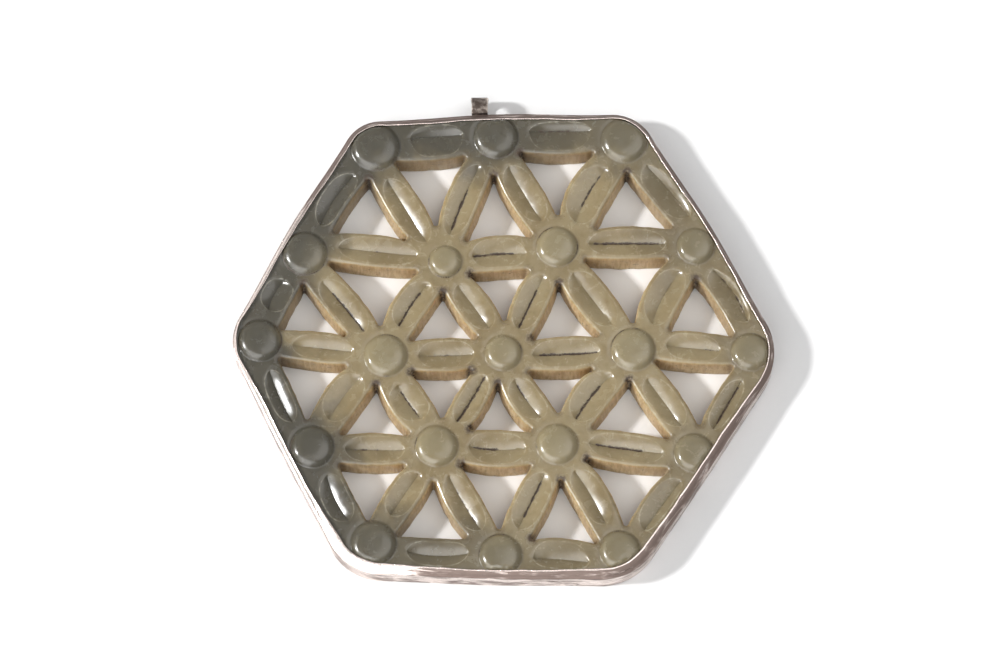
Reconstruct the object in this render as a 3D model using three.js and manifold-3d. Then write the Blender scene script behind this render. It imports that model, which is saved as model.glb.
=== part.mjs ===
import * as THREE from 'three';
import { mergeVertices } from 'three/addons/utils/BufferGeometryUtils.js';
import Module from 'manifold-3d';

// A pierced jade plaque, six-sided, in a thin silver collar with a strap loop, lying on its
// back.  Millimetres, +Z up.  Two corners lie on the X axis, the loop is on the +Y side, and
// the origin is the middle of the flat back.

// ---- driving dimensions -------------------------------------------------------------------

// The trellis: nineteen bosses on a triangular lattice, joined by forty-two petals.
const BOSS_SPACING = 13.6;
const ROW_SPACING = BOSS_SPACING * Math.sqrt(3) / 2;
const MIDDLE_ROW = 2;
const JADE_THICKNESS = 3.4;
const BOSS_HEIGHT = 0.72;
const BOSS_FOOT = 0.08;
const BOSS_SHOULDER_RADIUS = 0.78;
const BOSS_SHOULDER_HEIGHT = 0.88;
const BOSS_SIDE_HEIGHT = 0.55;
const BOSS_SIDES = 15;

// Petals: a leaf-shaped hollow of V section between two crests.  A petal along the rim has
// its outer crest just inside the collar's lip.
const HOLLOW_DEPTH = 0.6;
const HOLLOW_CLEARANCE = 1.0;
const HOLLOW_STEPS = 6;
const HOLLOW_DECK = 0.2;
const LEAF_SQUARENESS = 2.4;
const LEAF_BLUNTNESS = 0.7;
const CREST_INSET = 0.38;
const RIM_LAND = 0.2;

// Openings: sawn between drilled corners, eased at the front edge and narrower at the back.
const CORNER_SHARE = 0.86;
const DRILL_RADIUS = 0.3;
const DRILL_STEPS = 2;
const SAWN_STEPS = 4;
const EASED_EDGE = 0.16;
const SAW_TAPER = 0.14;

// The collar: a silver strip bent round the jade, rubbed over its front and back edges.
const COLLAR_WALL = 0.36;
const COLLAR_WALL_HEIGHT = 3.15;
const COLLAR_HEIGHT = 3.75;
const COLLAR_EDGE = 0.26;
const COLLAR_ROUND = 0.13;
const BACK_LIP = 0.8;
const FIT_GAP = 0.12;
const SIDE_STEPS = 5;
const BEND_STEPS = 5;

// The collar's six sides, anticlockwise from the upper right: the way each one faces in
// degrees, its distance from the middle, how far it swells, the width of its front lip half
// way along, and the radius and lip width of the bend that follows it.
const SIDES = [
  { facing: 30, distance: 26.6, swell: 0.4, lip: 0.62, bend: 5.0, bendLip: 0.6 },
  { facing: 91.7, distance: 26.62, swell: 0.45, lip: 0.8, bend: 4.5, bendLip: 0.7 },
  { facing: 150.4, distance: 27.25, swell: 0.4, lip: 0.7, bend: 5.5, bendLip: 0.4 },
  { facing: 206.7, distance: 27.5, swell: 0.1, lip: 0.6, bend: 6.5, bendLip: 1.2 },
  { facing: 268.6, distance: 26.88, swell: 0.2, lip: 0.9, bend: 7.0, bendLip: 1.15 },
  { facing: 326.9, distance: 26.9, swell: 0.1, lip: 1.0, bend: 6.9, bendLip: 0.7 },
];

// The loop: a flat strap bent to a D and soldered by both ends to the collar's top side.
const LOOP_CENTRE_X = -2.75;
const LOOP_WIDTH = 2.0;
const LOOP_REACH = 2.3;
const LOOP_HEIGHT = 3.3;
const LOOP_STRAP = 0.5;
const LOOP_BASE_Z = 0.15;

// The bosses, row by row from the top and left to right.  The carver's eye placed them, so
// each has a shift off the even lattice, in X and Y, and its own radius.  The petals that it
// sends east, south-west and south-east follow, each as [bow, half width, start shift, end
// shift]; bows and shifts are to the right of the way that the petal runs.
const BOSS_ROWS = [
  [
    {
      shift: [-0.9, -0.5],
      radius: 2.75,
      east: [-0.85, 2.95, -0.7, -0.7],
      southwest: [0.75, 1.8, 0.3, 0.3],
      southeast: [0.65, 1.95, 0.75, 0.6],
    },
    {
      shift: [-0.9, 0.7],
      radius: 2.5,
      east: [-1.05, 2.9, -0.85, -1.15],
      southwest: [0.8, 2.0, 0.55, 0.65],
      southeast: [0.25, 2.05, 0.35, 0.05],
    },
    {
      shift: [0, 0.3],
      radius: 2.6,
      southwest: [0.3, 2.4, 0.05, -0.3],
      southeast: [-1.2, 2.55, -0.55, -1.3],
    },
  ],
  [
    {
      shift: [-1.95, -1.3],
      radius: 2.5,
      east: [-0.85, 1.95, -1.0, -0.6],
      southwest: [1.05, 2.3, 0.7, 0.75],
      southeast: [0.15, 2.0, 0.4, 0.2],
    },
    {
      shift: [0.2, -2.25],
      radius: 1.85,
      east: [-0.2, 2.15, -0.2, 0.25],
      southwest: [0.7, 2.0, 0.3, 0.5],
      southeast: [-0.1, 2.0, 0.2, -0.25],
    },
    {
      shift: [-0.85, -0.5],
      radius: 2.3,
      east: [-0.5, 2.0, -0.4, -0.4],
      southwest: [-0.15, 2.0, -0.15, -0.3],
      southeast: [0.2, 2.15, 0.3, 0.15],
    },
    {
      shift: [1.1, -0.45],
      radius: 2.1,
      southwest: [0.25, 2.15, 0.05, -0.4],
      southeast: [-1.5, 2.4, -0.6, -1.35],
    },
  ],
  [
    {
      shift: [-0.05, 0.3],
      radius: 2.4,
      east: [-0.1, 1.85, 0, -0.05],
      southeast: [0.75, 1.65, 0.5, 0.7],
    },
    {
      shift: [0.4, -1.45],
      radius: 2.4,
      east: [0, 2.0, 0.05, 0],
      southwest: [0.9, 2.15, 0.8, 0.5],
      southeast: [0.3, 2.25, 0.45, -0.05],
    },
    {
      shift: [-0.1, -1.15],
      radius: 2.05,
      east: [0.2, 2.05, 0.25, 0.1],
      southwest: [-0.1, 1.75, 0.15, -0.25],
      southeast: [0.35, 2.0, 0.4, -0.1],
    },
    {
      shift: [0.8, -0.75],
      radius: 2.45,
      east: [-0.45, 1.95, -0.6, -0.15],
      southwest: [0.45, 2.2, 0.2, 0.15],
      southeast: [-0.1, 1.95, 0.3, -0.35],
    },
    {
      shift: [0.3, -1.05],
      radius: 2.15,
      southwest: [-0.6, 1.75, -0.7, -0.55],
    },
  ],
  [
    {
      shift: [-0.9, -0.25],
      radius: 2.4,
      east: [0.25, 1.9, 0.2, 0.35],
      southeast: [0.9, 1.95, 0.3, 0.95],
    },
    {
      shift: [-0.7, -0.15],
      radius: 2.35,
      east: [0.35, 2.2, 0.05, 0.35],
      southwest: [0.15, 1.95, 0, 0.15],
      southeast: [0.55, 1.95, 0.45, 0.45],
    },
    {
      shift: [-0.9, 0.05],
      radius: 2.3,
      east: [-0.1, 1.95, -0.4, 0.2],
      southwest: [-0.3, 2.0, -0.3, -0.4],
      southeast: [-0.45, 1.95, -0.2, -0.2],
    },
    {
      shift: [0.7, -0.95],
      radius: 2.2,
      southwest: [-0.6, 2.1, -0.65, -0.75],
    },
  ],
  [
    { shift: [-0.8, 0.5], radius: 2.5, east: [0.6, 1.9, 0.5, 0.1] },
    { shift: [-0.4, -0.85], radius: 2.35, east: [0.6, 2.4, 0.4, 1.1] },
    { shift: [-0.8, -0.35], radius: 2.25 },
  ],
];

const SILVER = { color: 0x9a8d88, roughness: 0.42, metalness: 1 };
const JADE = { color: 0x9c9780, roughness: 0.25, metalness: 0 };

// ---- solids -------------------------------------------------------------------------------

const wasm = await Module();
wasm.setup();

// A closed three.js geometry as a solid that can be joined and cut.
function solidOf(geometry) {
  const bare = geometry.clone();
  bare.deleteAttribute('normal');
  bare.deleteAttribute('uv');
  const merged = mergeVertices(bare);
  return new wasm.Manifold(new wasm.Mesh({
    numProp: 3,
    vertProperties: new Float32Array(merged.attributes.position.array),
    triVerts: new Uint32Array(merged.index.array),
  }));
}

function geometryOf(solid) {
  const mesh = solid.getMesh();
  const geometry = new THREE.BufferGeometry();
  geometry.setAttribute('position', new THREE.BufferAttribute(new Float32Array(mesh.vertProperties), 3));
  geometry.setIndex(new THREE.BufferAttribute(new Uint32Array(mesh.triVerts), 1));
  geometry.computeVertexNormals();
  return geometry;
}

// A skin over rings of equal length, one above the other, each anticlockwise seen from the
// last ring.  The first and last ring are closed by the given cap triangles.
function loft(rings, cap) {
  const size = rings[0].length;
  const points = rings.flat();
  const faces = [];
  for (let ring = 0; ring + 1 < rings.length; ring += 1) {
    for (let side = 0; side < size; side += 1) {
      const next = (side + 1) % size;
      const low = ring * size;
      const high = low + size;
      faces.push(low + side, low + next, high + next, low + side, high + next, high + side);
    }
  }
  const last = (rings.length - 1) * size;
  for (const [a, b, c] of cap) {
    faces.push(a, c, b, last + a, last + b, last + c);
  }
  return new THREE.BufferGeometry().setFromPoints(points).setIndex(faces);
}

function flatCap(ring) {
  return THREE.ShapeUtils.triangulateShape(ring.map((point) => new THREE.Vector2(point.x, point.y)), []);
}

// ---- the trellis's plan -------------------------------------------------------------------

function layOutBosses() {
  return BOSS_ROWS.map((row, rowIndex) => row.map((boss, column) => ({
    ...boss,
    outer: [0, 2 * MIDDLE_ROW].includes(rowIndex) || [0, row.length - 1].includes(column),
    centre: new THREE.Vector2(
      (column - (row.length - 1) / 2) * BOSS_SPACING + boss.shift[0],
      (MIDDLE_ROW - rowIndex) * ROW_SPACING + boss.shift[1],
    ),
  })));
}

const bosses = layOutBosses();

// The boss below and to the left (step 0) or right (step 1) of a boss.
function bossBelow(row, column, step) {
  const shift = row < MIDDLE_ROW ? step : step - 1;
  return bosses[row + 1]?.[column + shift];
}

function petalBetween(from, to, [bow, half, startShift, endShift]) {
  const along = to.centre.clone().sub(from.centre).normalize();
  const right = new THREE.Vector2(along.y, -along.x);
  const onRim = from.outer && to.outer;
  return { from, to, bow, half, startShift, endShift, along, right, onRim };
}

function layOutPetals() {
  const found = [];
  bosses.forEach((row, rowIndex) => row.forEach((boss, column) => {
    if (boss.east) found.push(petalBetween(boss, row[column + 1], boss.east));
    if (boss.southwest) found.push(petalBetween(boss, bossBelow(rowIndex, column, 0), boss.southwest));
    if (boss.southeast) found.push(petalBetween(boss, bossBelow(rowIndex, column, 1), boss.southeast));
  }));
  return found;
}

const petals = layOutPetals();

// The triangles between neighbouring bosses, each with its corners anticlockwise.
function layOutCells() {
  const found = [];
  bosses.forEach((row, rowIndex) => row.forEach((boss, column) => {
    const left = bossBelow(rowIndex, column, 0);
    const right = bossBelow(rowIndex, column, 1);
    const neighbour = row[column + 1];
    if (left && right) found.push([boss, left, right]);
    if (neighbour && right) found.push([boss, right, neighbour]);
  }));
  return found;
}

// One sawn side of an opening, seen from inside the cell: how far the petal stands into the
// cell at the side's start, middle and end.
function cellSide(from, to) {
  const along = to.centre.clone().sub(from.centre).normalize();
  const inward = new THREE.Vector2(-along.y, along.x);
  const petal = petals.find((one) => [from, to].includes(one.from) && [from, to].includes(one.to));
  const sign = Math.sign(petal.right.dot(inward));
  const shifts = petal.from === from ? [petal.startShift, petal.endShift] : [petal.endShift, petal.startShift];
  const [startReach, endReach] = shifts.map((shift) => CORNER_SHARE * petal.half + sign * shift);
  return { from, to, along, inward, startReach, endReach, middleReach: petal.half + sign * petal.bow };
}

// The centre of the drilled corner where two sides meet, clear of both petals.
function drillCentre(before, side) {
  const back = before.along.clone().negate();
  const spread = side.along.cross(back);
  return side.from.centre.clone()
    .addScaledVector(back, (side.startReach + DRILL_RADIUS) / spread)
    .addScaledVector(side.along, (before.endReach + DRILL_RADIUS) / spread);
}

// The outline of an opening, anticlockwise, grown all round by the given amount: a drilled
// corner, then the sawn side that runs on to the next corner.
function openingOutline(cell, grow) {
  const sides = cell.map((boss, index) => cellSide(boss, cell[(index + 1) % 3]));
  const centres = sides.map((side, index) => drillCentre(sides[(index + 2) % 3], side));
  const radius = DRILL_RADIUS + grow;
  return sides.flatMap((side, index) => {
    const before = sides[(index + 2) % 3];
    const drilled = drilledCorner(centres[index], radius, before.inward, side.inward);
    const end = centres[(index + 1) % 3].clone().addScaledVector(side.inward, -radius);
    const middle = side.from.centre.clone().lerp(side.to.centre, 0.5);
    middle.addScaledVector(side.inward, side.middleReach - grow);
    return [...drilled, ...sawnSide(drilled[DRILL_STEPS], middle, end)];
  });
}

function drilledCorner(centre, radius, inwardBefore, inwardAfter) {
  const start = Math.atan2(-inwardBefore.y, -inwardBefore.x);
  const turn = Math.atan2(inwardBefore.cross(inwardAfter), inwardBefore.dot(inwardAfter));
  return Array.from({ length: DRILL_STEPS + 1 }, (_, step) => {
    const angle = start + turn * step / DRILL_STEPS;
    return new THREE.Vector2(Math.cos(angle), Math.sin(angle)).multiplyScalar(radius).add(centre);
  });
}

// The points between the ends of a side that passes through its middle point.
function sawnSide(start, middle, end) {
  const control = middle.clone().multiplyScalar(2).addScaledVector(start, -0.5).addScaledVector(end, -0.5);
  return new THREE.QuadraticBezierCurve(start, control, end).getPoints(SAWN_STEPS).slice(1, -1);
}

// ---- the collar's line --------------------------------------------------------------------

function directionOf(degrees) {
  const angle = THREE.MathUtils.degToRad(degrees);
  return new THREE.Vector2(Math.cos(angle), Math.sin(angle));
}

// The centre of the bend between two neighbouring sides.
function bendCentre(side, next) {
  const a = directionOf(side.facing);
  const b = directionOf(next.facing);
  const reachA = side.distance - side.bend;
  const reachB = next.distance - side.bend;
  const scale = a.cross(b);
  return new THREE.Vector2((reachA * b.y - reachB * a.y) / scale, (a.x * reachB - b.x * reachA) / scale);
}

// Places along the collar's outer face, anticlockwise: the point, the way inward, and the
// width of the front lip there.
function collarStations() {
  const centres = SIDES.map((side, index) => bendCentre(side, SIDES[(index + 1) % SIDES.length]));
  return SIDES.flatMap((side, index) => {
    const before = SIDES.at(index - 1);
    const next = SIDES[(index + 1) % SIDES.length];
    const facing = directionOf(side.facing);
    const start = centres.at(index - 1).clone().addScaledVector(facing, before.bend);
    const end = centres[index].clone().addScaledVector(facing, side.bend);
    const run = Array.from({ length: SIDE_STEPS }, (_, step) => {
      const place = step / SIDE_STEPS;
      const swell = side.swell * Math.sin(Math.PI * place) ** 2;
      const point = start.clone().lerp(end, place).addScaledVector(facing, swell);
      const ends = THREE.MathUtils.lerp(before.bendLip, side.bendLip, place);
      const lip = THREE.MathUtils.lerp(ends, side.lip, Math.sin(Math.PI * place));
      return { point, inward: facing.clone().negate(), lip };
    });
    const turn = (next.facing - side.facing + 360) % 360;
    const bend = Array.from({ length: BEND_STEPS }, (_, step) => {
      const outward = directionOf(side.facing + turn * step / BEND_STEPS);
      const point = centres[index].clone().addScaledVector(outward, side.bend);
      return { point, inward: outward.negate(), lip: side.bendLip };
    });
    return [...run, ...bend];
  });
}

const stations = collarStations();

// The collar's line moved inward, at a height.  The inset may follow the lip's width.
function collarRing(insetOf, height) {
  return stations.map((station) => {
    const { x, y } = station.point.clone().addScaledVector(station.inward, insetOf(station.lip));
    return new THREE.Vector3(x, y, height);
  });
}

// ---- the jade -----------------------------------------------------------------------------

// The blank: a flat slab whose front and back edges are bevelled to go under the collar.
function jadeBlank() {
  const edge = () => COLLAR_WALL + FIT_GAP;
  const rings = [
    collarRing(() => BACK_LIP + FIT_GAP, 0),
    collarRing(() => BACK_LIP + FIT_GAP, COLLAR_EDGE),
    collarRing(edge, 2 * COLLAR_EDGE + FIT_GAP),
    collarRing(edge, COLLAR_WALL_HEIGHT - 2 * FIT_GAP - COLLAR_EDGE / 2),
    collarRing((lip) => lip + FIT_GAP, JADE_THICKNESS),
  ];
  return solidOf(loft(rings, flatCap(rings[0])));
}

function openingCutter(cell) {
  const levels = [
    [-1, -SAW_TAPER],
    [JADE_THICKNESS - EASED_EDGE, 0],
    [JADE_THICKNESS + EASED_EDGE, 2 * EASED_EDGE],
  ];
  const rings = levels.map(([height, grow]) => (
    openingOutline(cell, grow).map((point) => new THREE.Vector3(point.x, point.y, height))
  ));
  return solidOf(loft(rings, flatCap(rings[0])));
}

// A blunt leaf: nearly parallel along its middle and rounded off at both ends.
function leafWidth(place) {
  return (1 - Math.abs(2 * place - 1) ** LEAF_SQUARENESS) ** LEAF_BLUNTNESS;
}

// The half width of a petal's hollow on its right (hand 1) or left (hand -1).  Along the rim,
// the half that faces the collar keeps clear of the lip.
function hollowHalf(petal, valley, hand) {
  const half = petal.half - CREST_INSET;
  const outward = petal.right.clone().multiplyScalar(hand);
  if (!petal.onRim || outward.dot(valley) < 0) return half;
  const lipEdge = collarRing((lip) => lip, 0).map(({ x, y }) => new THREE.Vector2(x, y).sub(valley));
  const beside = lipEdge.filter((point) => Math.abs(point.dot(petal.along)) < BOSS_SPACING / 4);
  const room = Math.min(...beside.map((point) => point.dot(outward)).filter((reach) => reach > 0));
  return Math.min(half, room - RIM_LAND);
}

// The tool that hollows a petal: a keel with a flat deck above the jade's face.
function hollowCutter(petal) {
  const start = petal.from.radius + HOLLOW_CLEARANCE;
  const end = petal.from.centre.distanceTo(petal.to.centre) - petal.to.radius - HOLLOW_CLEARANCE;
  const valleyAt = (place) => {
    const shift = petal.bow * 4 * place * (1 - place)
      + petal.startShift * (1 - place) * (1 - 2 * place)
      + petal.endShift * place * (2 * place - 1);
    return petal.from.centre.clone()
      .addScaledVector(petal.along, THREE.MathUtils.lerp(start, end, place))
      .addScaledVector(petal.right, shift);
  };
  const rightHalf = hollowHalf(petal, valleyAt(0.5), 1);
  const leftHalf = hollowHalf(petal, valleyAt(0.5), -1);
  const rings = Array.from({ length: HOLLOW_STEPS + 1 }, (_, step) => {
    const place = (1 - Math.cos(Math.PI * step / HOLLOW_STEPS)) / 2;
    const width = leafWidth(place);
    const reach = width + HOLLOW_DECK / HOLLOW_DEPTH;
    const valley = valleyAt(place);
    const right = valley.clone().addScaledVector(petal.right, rightHalf * reach);
    const left = valley.clone().addScaledVector(petal.right, -leftHalf * reach);
    return [
      new THREE.Vector3(right.x, right.y, JADE_THICKNESS + HOLLOW_DECK),
      new THREE.Vector3(valley.x, valley.y, JADE_THICKNESS - HOLLOW_DEPTH * width),
      new THREE.Vector3(left.x, left.y, JADE_THICKNESS + HOLLOW_DECK),
    ];
  });
  return solidOf(loft(rings, [[0, 1, 2]]));
}

// A low button with a steep side, a sloping shoulder and a gently domed top.
function bossSolid(boss) {
  const foot = JADE_THICKNESS / 2;
  const profile = [
    [0, foot],
    [boss.radius + BOSS_FOOT, foot],
    [boss.radius + BOSS_FOOT, JADE_THICKNESS],
    [boss.radius - BOSS_FOOT, JADE_THICKNESS + BOSS_SIDE_HEIGHT * BOSS_HEIGHT],
    [BOSS_SHOULDER_RADIUS * boss.radius, JADE_THICKNESS + BOSS_SHOULDER_HEIGHT * BOSS_HEIGHT],
    [0, JADE_THICKNESS + BOSS_HEIGHT],
  ].map(([radius, height]) => new THREE.Vector2(radius, height));
  const lathe = new THREE.LatheGeometry(profile, BOSS_SIDES).rotateX(Math.PI / 2);
  return solidOf(lathe.translate(boss.centre.x, boss.centre.y, 0));
}

// The room inside the front lip, which the outer bosses are cut back to.
function insideLip() {
  const rings = [1, JADE_THICKNESS + 2 * BOSS_HEIGHT].map((height) => (
    collarRing((lip) => lip + 2 * FIT_GAP, height)
  ));
  return solidOf(loft(rings, flatCap(rings[0])));
}

function jadePlaque() {
  const openings = layOutCells().map(openingCutter);
  const hollows = petals.map(hollowCutter);
  const buttons = bosses.flat().map(bossSolid);
  const carved = wasm.Manifold.difference([jadeBlank(), ...openings, ...hollows]);
  const raised = wasm.Manifold.union(buttons).intersect(insideLip());
  return geometryOf(carved.add(raised));
}

// ---- the silver ---------------------------------------------------------------------------

// The strip's section as [distance inward, height], clockwise from the outer bottom corner.
function collarSection(lip) {
  return [
    [0, 0],
    [0, COLLAR_WALL_HEIGHT],
    [COLLAR_ROUND, COLLAR_WALL_HEIGHT + COLLAR_ROUND],
    [lip, COLLAR_HEIGHT],
    [lip, COLLAR_HEIGHT - COLLAR_EDGE],
    [COLLAR_WALL, COLLAR_WALL_HEIGHT - COLLAR_ROUND],
    [COLLAR_WALL, 2 * COLLAR_EDGE],
    [BACK_LIP, COLLAR_EDGE],
    [BACK_LIP, 0],
  ];
}

function silverFrame() {
  const size = collarSection(0).length;
  const points = stations.flatMap((station) => collarSection(station.lip).map(([inset, height]) => {
    const { x, y } = station.point.clone().addScaledVector(station.inward, inset);
    return new THREE.Vector3(x, y, height);
  }));
  const faces = [];
  stations.forEach((_, index) => {
    const here = index * size;
    const there = ((index + 1) % stations.length) * size;
    for (let side = 0; side < size; side += 1) {
      const next = (side + 1) % size;
      faces.push(here + side, there + side, there + next, here + side, there + next, here + next);
    }
  });
  const geometry = new THREE.BufferGeometry().setFromPoints(points).setIndex(faces);
  geometry.computeVertexNormals();
  return geometry;
}

// The loop is drawn from its side, reaching out along +Y, and extruded over the strap's width.
function suspensionLoop() {
  const outer = LOOP_HEIGHT / 2;
  const inner = outer - LOOP_STRAP;
  const neck = LOOP_REACH - outer;
  const side = new THREE.Shape();
  side.moveTo(0, -outer);
  side.lineTo(neck, -outer);
  side.absarc(neck, 0, outer, -Math.PI / 2, Math.PI / 2, false);
  side.lineTo(0, outer);
  side.lineTo(0, inner);
  side.lineTo(neck, inner);
  side.absarc(neck, 0, inner, Math.PI / 2, -Math.PI / 2, true);
  side.lineTo(0, -inner);
  return new THREE.ExtrudeGeometry(side, { depth: LOOP_WIDTH, bevelEnabled: false, curveSegments: 8 });
}

// Where the loop's ends meet the collar: just outside the outermost point of its top side.
function loopSeat() {
  return Math.max(...stations.map(({ point }) => point.y));
}

// ---- the whole part -----------------------------------------------------------------------

function named(name, geometry, finish) {
  const mesh = new THREE.Mesh(geometry, new THREE.MeshStandardMaterial(finish));
  mesh.name = name;
  return mesh;
}

const loop = named('suspension_loop', suspensionLoop(), SILVER);
loop.rotation.set(Math.PI / 2, 0, Math.PI / 2, 'ZYX');
loop.position.set(LOOP_CENTRE_X - LOOP_WIDTH / 2, loopSeat() + FIT_GAP, LOOP_BASE_Z + LOOP_HEIGHT / 2);

const group = new THREE.Group();
group.add(named('jade_plaque', jadePlaque(), JADE));
group.add(named('silver_frame', silverFrame(), SILVER));
group.add(loop);

export default group;
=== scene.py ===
from math import atan2, cos, degrees, pi, radians, sin, sqrt

import bpy
import numpy as np
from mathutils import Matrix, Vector, noise
from mathutils.geometry import delaunay_2d_cdt
from mathutils.kdtree import KDTree


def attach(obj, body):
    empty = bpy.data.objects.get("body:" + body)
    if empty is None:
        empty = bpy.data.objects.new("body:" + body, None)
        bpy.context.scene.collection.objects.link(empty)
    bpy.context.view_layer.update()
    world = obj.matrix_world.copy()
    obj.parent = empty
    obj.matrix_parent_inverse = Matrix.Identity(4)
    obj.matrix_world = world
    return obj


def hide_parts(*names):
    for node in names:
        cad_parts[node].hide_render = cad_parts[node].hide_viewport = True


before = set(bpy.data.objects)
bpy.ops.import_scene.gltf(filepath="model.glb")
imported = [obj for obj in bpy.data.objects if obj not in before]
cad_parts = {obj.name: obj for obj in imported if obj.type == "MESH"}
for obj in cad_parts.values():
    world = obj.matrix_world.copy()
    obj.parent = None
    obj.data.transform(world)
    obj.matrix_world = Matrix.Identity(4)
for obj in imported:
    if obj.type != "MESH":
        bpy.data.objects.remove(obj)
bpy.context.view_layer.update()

# ---- Jade plaque ----
# One slab of nephrite jade: six-sided, pierced with twenty-four triangular openings that are
# drilled at their corners and sawn between, carved on its face with nineteen bosses and
# forty-two hollowed petals, and polished.  The back is left flat.

MM = 0.001

BOSS_SPACING = 13.6
ROW_SPACING = BOSS_SPACING * sqrt(3) / 2
MIDDLE_ROW = 2
JADE_THICKNESS = 3.4

# The bosses, row by row from the top and left to right: shift off the even lattice, radius,
# and the petals sent east, south-west and south-east, each as (bow, half width, start shift,
# end shift), to the right of the way the petal runs.
BOSS_ROWS = [
    [
        dict(shift=(-0.9, -0.5), radius=2.75, east=(-0.85, 2.95, -0.7, -0.7),
             southwest=(0.75, 1.8, 0.3, 0.3), southeast=(0.65, 1.95, 0.75, 0.6)),
        dict(shift=(-0.9, 0.7), radius=2.5, east=(-1.05, 2.9, -0.85, -1.15),
             southwest=(0.8, 2.0, 0.55, 0.65), southeast=(0.25, 2.05, 0.35, 0.05)),
        dict(shift=(0, 0.3), radius=2.6,
             southwest=(0.3, 2.4, 0.05, -0.3), southeast=(-1.2, 2.55, -0.55, -1.3)),
    ],
    [
        dict(shift=(-1.95, -1.3), radius=2.5, east=(-0.85, 1.95, -1.0, -0.6),
             southwest=(1.05, 2.3, 0.7, 0.75), southeast=(0.15, 2.0, 0.4, 0.2)),
        dict(shift=(0.2, -2.25), radius=1.85, east=(-0.2, 2.15, -0.2, 0.25),
             southwest=(0.7, 2.0, 0.3, 0.5), southeast=(-0.1, 2.0, 0.2, -0.25)),
        dict(shift=(-0.85, -0.5), radius=2.3, east=(-0.5, 2.0, -0.4, -0.4),
             southwest=(-0.15, 2.0, -0.15, -0.3), southeast=(0.2, 2.15, 0.3, 0.15)),
        dict(shift=(1.1, -0.45), radius=2.1,
             southwest=(0.25, 2.15, 0.05, -0.4), southeast=(-1.5, 2.4, -0.6, -1.35)),
    ],
    [
        dict(shift=(-0.05, 0.3), radius=2.4, east=(-0.1, 1.85, 0, -0.05),
             southeast=(0.75, 1.65, 0.5, 0.7)),
        dict(shift=(0.4, -1.45), radius=2.4, east=(0, 2.0, 0.05, 0),
             southwest=(0.9, 2.15, 0.8, 0.5), southeast=(0.3, 2.25, 0.45, -0.05)),
        dict(shift=(-0.1, -1.15), radius=2.05, east=(0.2, 2.05, 0.25, 0.1),
             southwest=(-0.1, 1.75, 0.15, -0.25), southeast=(0.35, 2.0, 0.4, -0.1)),
        dict(shift=(0.8, -0.75), radius=2.45, east=(-0.45, 1.95, -0.6, -0.15),
             southwest=(0.45, 2.2, 0.2, 0.15), southeast=(-0.1, 1.95, 0.3, -0.35)),
        dict(shift=(0.3, -1.05), radius=2.15, southwest=(-0.6, 1.75, -0.7, -0.55)),
    ],
    [
        dict(shift=(-0.9, -0.25), radius=2.4, east=(0.25, 1.9, 0.2, 0.35),
             southeast=(0.9, 1.95, 0.3, 0.95)),
        dict(shift=(-0.7, -0.15), radius=2.35, east=(0.35, 2.2, 0.05, 0.35),
             southwest=(0.15, 1.95, 0, 0.15), southeast=(0.55, 1.95, 0.45, 0.45)),
        dict(shift=(-0.9, 0.05), radius=2.3, east=(-0.1, 1.95, -0.4, 0.2),
             southwest=(-0.3, 2.0, -0.3, -0.4), southeast=(-0.45, 1.95, -0.2, -0.2)),
        dict(shift=(0.7, -0.95), radius=2.2, southwest=(-0.6, 2.1, -0.65, -0.75)),
    ],
    [
        dict(shift=(-0.8, 0.5), radius=2.5, east=(0.6, 1.9, 0.5, 0.1)),
        dict(shift=(-0.4, -0.85), radius=2.35, east=(0.6, 2.4, 0.4, 1.1)),
        dict(shift=(-0.8, -0.35), radius=2.25),
    ],
]

bosses = {}
for row, entries in enumerate(BOSS_ROWS):
    for column, entry in enumerate(entries):
        x = (column - (len(entries) - 1) / 2) * BOSS_SPACING + entry["shift"][0]
        y = (MIDDLE_ROW - row) * ROW_SPACING + entry["shift"][1]
        outer = row in (0, 2 * MIDDLE_ROW) or column in (0, len(entries) - 1)
        bosses[row, column] = dict(entry, centre=np.array([x, y]), outer=outer)


def boss_below(row, column, step):
    """The boss below and to the left (step 0) or right (step 1)."""
    key = (row + 1, column + (step if row < MIDDLE_ROW else step - 1))
    return key if key in bosses else None


def unit(vector):
    return vector / np.hypot(*vector)


petals = {}
for (row, column), boss in bosses.items():
    for way, other in (("east", (row, column + 1)), ("southwest", boss_below(row, column, 0)),
                       ("southeast", boss_below(row, column, 1))):
        if way not in boss:
            continue
        along = unit(bosses[other]["centre"] - boss["centre"])
        bow, half, start_shift, end_shift = boss[way]
        petals[(row, column), other] = dict(
            start=boss, end=bosses[other], along=along, right=np.array([along[1], -along[0]]),
            bow=bow, half=half, start_shift=start_shift, end_shift=end_shift,
            on_rim=boss["outer"] and bosses[other]["outer"])

# The triangles between neighbouring bosses, corners anticlockwise.
cells = []
for row, column in bosses:
    left, right = boss_below(row, column, 0), boss_below(row, column, 1)
    if left and right:
        cells.append(((row, column), left, right))
    if (row, column + 1) in bosses and right:
        cells.append(((row, column), right, (row, column + 1)))

# Openings: drilled corners and sawn sides.
CORNER_SHARE = 0.86
DRILL_RADIUS = 0.3
DRILL_STEPS = 6
SAWN_STEPS = 22


def cell_side(start, end):
    """How far the petal stands into the cell at the start, middle and end of one side."""
    along = unit(bosses[end]["centre"] - bosses[start]["centre"])
    inward = np.array([-along[1], along[0]])
    forward = (start, end) in petals
    petal = petals[(start, end) if forward else (end, start)]
    sign = np.sign(petal["right"] @ inward)
    shifts = (petal["start_shift"], petal["end_shift"])[::1 if forward else -1]
    reaches = [CORNER_SHARE * petal["half"] + sign * shift for shift in shifts]
    return dict(start=bosses[start]["centre"], end=bosses[end]["centre"], along=along,
                inward=inward, start_reach=reaches[0], end_reach=reaches[1],
                middle_reach=petal["half"] + sign * petal["bow"])


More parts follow.
